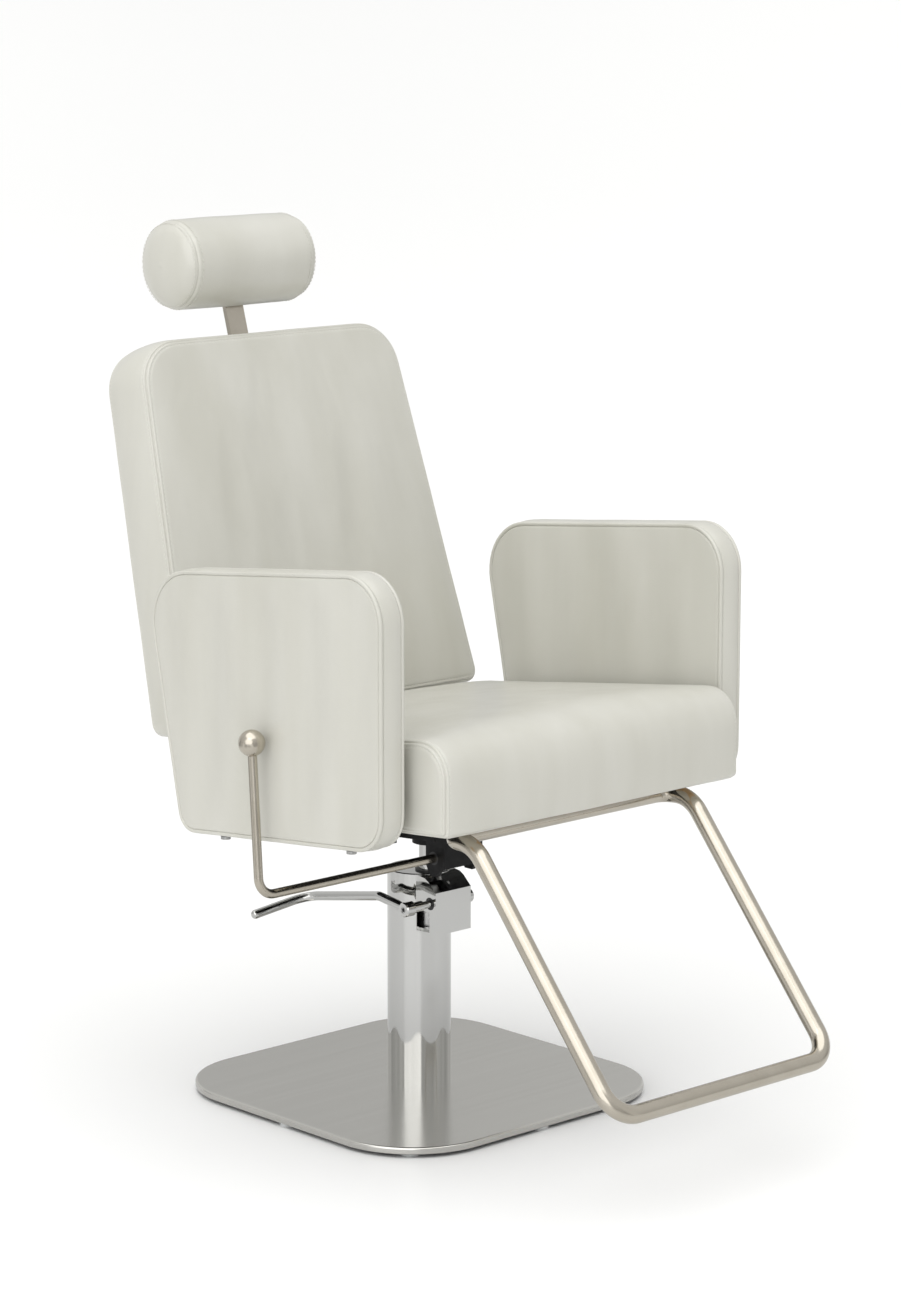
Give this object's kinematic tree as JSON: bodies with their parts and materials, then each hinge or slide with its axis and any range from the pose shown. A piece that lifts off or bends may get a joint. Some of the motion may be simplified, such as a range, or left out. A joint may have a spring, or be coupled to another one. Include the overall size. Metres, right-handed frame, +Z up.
{
  "type": "salon styling chair",
  "caption": "Salon styling chair: square base, pump lift, swivel seat with padded arms, reclining tapered back, roll headrest and tube footrest.",
  "frame": {"origin": "on the floor, on the axis of the column, at the middle of the square base", "axes": "+Z up, the chair faces -Y, +X is the sitter's left"},
  "size_m": [0.6843, 1.0223, 1.1579],
  "materials": {
    "pearl_leatherette": "satin",
    "brushed_stainless": "satin",
    "brushed_nickel": "satin",
    "mirror_chrome": "polished",
    "black_steel": "satin",
    "zinc_steel": "satin",
    "black_plastic": "matte",
    "plywood": "matte",
    "black_cloth": "matte",
    "clear_plastic": "gloss"
  },
  "bodies": {
    "base": {"base_cover": "brushed_stainless", "base_plate": "black_steel", "base_glides": "clear_plastic", "column_cover": "mirror_chrome", "pump_cylinder": "zinc_steel", "pump_bolts": "zinc_steel", "pump_head": "mirror_chrome", "piston_bush": "black_plastic", "pedal_bushes": "black_plastic"},
    "pedal": {"pedal_shaft": "mirror_chrome", "pedal_hub": "mirror_chrome", "pedal_rod": "mirror_chrome", "pedal_screw": "zinc_steel", "pedal_end_cap": "mirror_chrome"},
    "piston": {"piston_rod": "mirror_chrome", "piston_head": "zinc_steel"},
    "seat": {"seat_hub": "black_steel", "hub_bolts": "zinc_steel", "frame_rails": "black_steel", "cross_bars": "black_steel", "seat_board": "plywood", "seat_cushion": "pearl_leatherette", "dust_cover": "black_cloth", "board_screws": "zinc_steel", "arm_pad_left": "pearl_leatherette", "arm_pad_right": "pearl_leatherette", "arm_core_left": "plywood", "arm_core_right": "plywood", "arm_brackets": "black_steel", "arm_bolts": "zinc_steel", "hinge_ears": "black_steel", "hinge_pins": "zinc_steel", "lever_bracket": "black_steel", "lever_bushes": "black_plastic", "gas_spring_mount": "black_steel", "footrest_loop": "brushed_nickel", "footrest_saddles": "black_steel", "footrest_bolts": "zinc_steel"},
    "recline_lever": {"lever_rod": "brushed_nickel", "lever_ball": "brushed_nickel", "release_cam": "zinc_steel"},
    "back": {"back_cushion": "pearl_leatherette", "back_board": "plywood", "torque_tube": "black_steel", "mount_bar": "black_steel", "back_uprights": "black_steel", "tail_plates": "black_steel", "back_bolts": "zinc_steel", "headrest_guide": "black_steel", "tail_pin": "zinc_steel"},
    "gas_rod": {"gas_rod": "zinc_steel", "release_head": "zinc_steel"},
    "gas_cylinder": {"gas_cylinder": "black_steel", "cylinder_eye": "zinc_steel"},
    "headrest": {"headrest_bar": "brushed_nickel", "headrest_board": "plywood", "headrest_screws": "zinc_steel", "headrest_roll": "pearl_leatherette"}
  },
  "joints": [
    {"name": "pedal_pump", "type": "hinge", "parent": "base", "child": "pedal", "pos_m": [0, -0.056, 0.274], "axis": [-1, 0, 0], "range_deg": [0, 18], "stiffness_Nm_per_rad": 6, "springref_deg": -20.05},
    {"name": "seat_lift", "type": "slide", "parent": "base", "child": "piston", "axis": [0, 0, 1], "range_m": [0, 0.14]},
    {"name": "seat_swivel", "type": "hinge", "parent": "piston", "child": "seat", "pos_m": [0, -0.0217, 0.393], "axis": [0, 0, 1], "continuous": true},
    {"name": "lever_release", "type": "hinge", "parent": "seat", "child": "recline_lever", "pos_m": [0, -0.077, 0.342], "axis": [-1, 0, 0], "range_deg": [0, 12], "stiffness_Nm_per_rad": 3, "springref_deg": -20.05},
    {"name": "back_recline", "type": "hinge", "parent": "seat", "child": "back", "pos_m": [0, 0.165, 0.442], "axis": [-1, 0, 0], "range_deg": [0, 40]},
    {"name": "gas_spring_swing", "type": "hinge", "parent": "seat", "child": "gas_rod", "pos_m": [0.06, -0.095, 0.3855], "axis": [-1, 0, 0], "range_deg": [0, 2.8]},
    {"name": "gas_spring_stroke", "type": "slide", "parent": "gas_rod", "child": "gas_cylinder", "axis": [0, -1, -0.0021], "range_m": [0, 0.046]},
    {"name": "headrest_height", "type": "slide", "parent": "back", "child": "headrest", "axis": [0, 0.2797, 0.9601], "range_m": [-0.03, 0.07]}
  ],
  "couplings": [
    {"joint": "gas_spring_swing", "follows": "back_recline", "ratio": 0.06527},
    {"joint": "gas_spring_stroke", "follows": "back_recline", "m_per_rad": 0.06212}
  ]
}
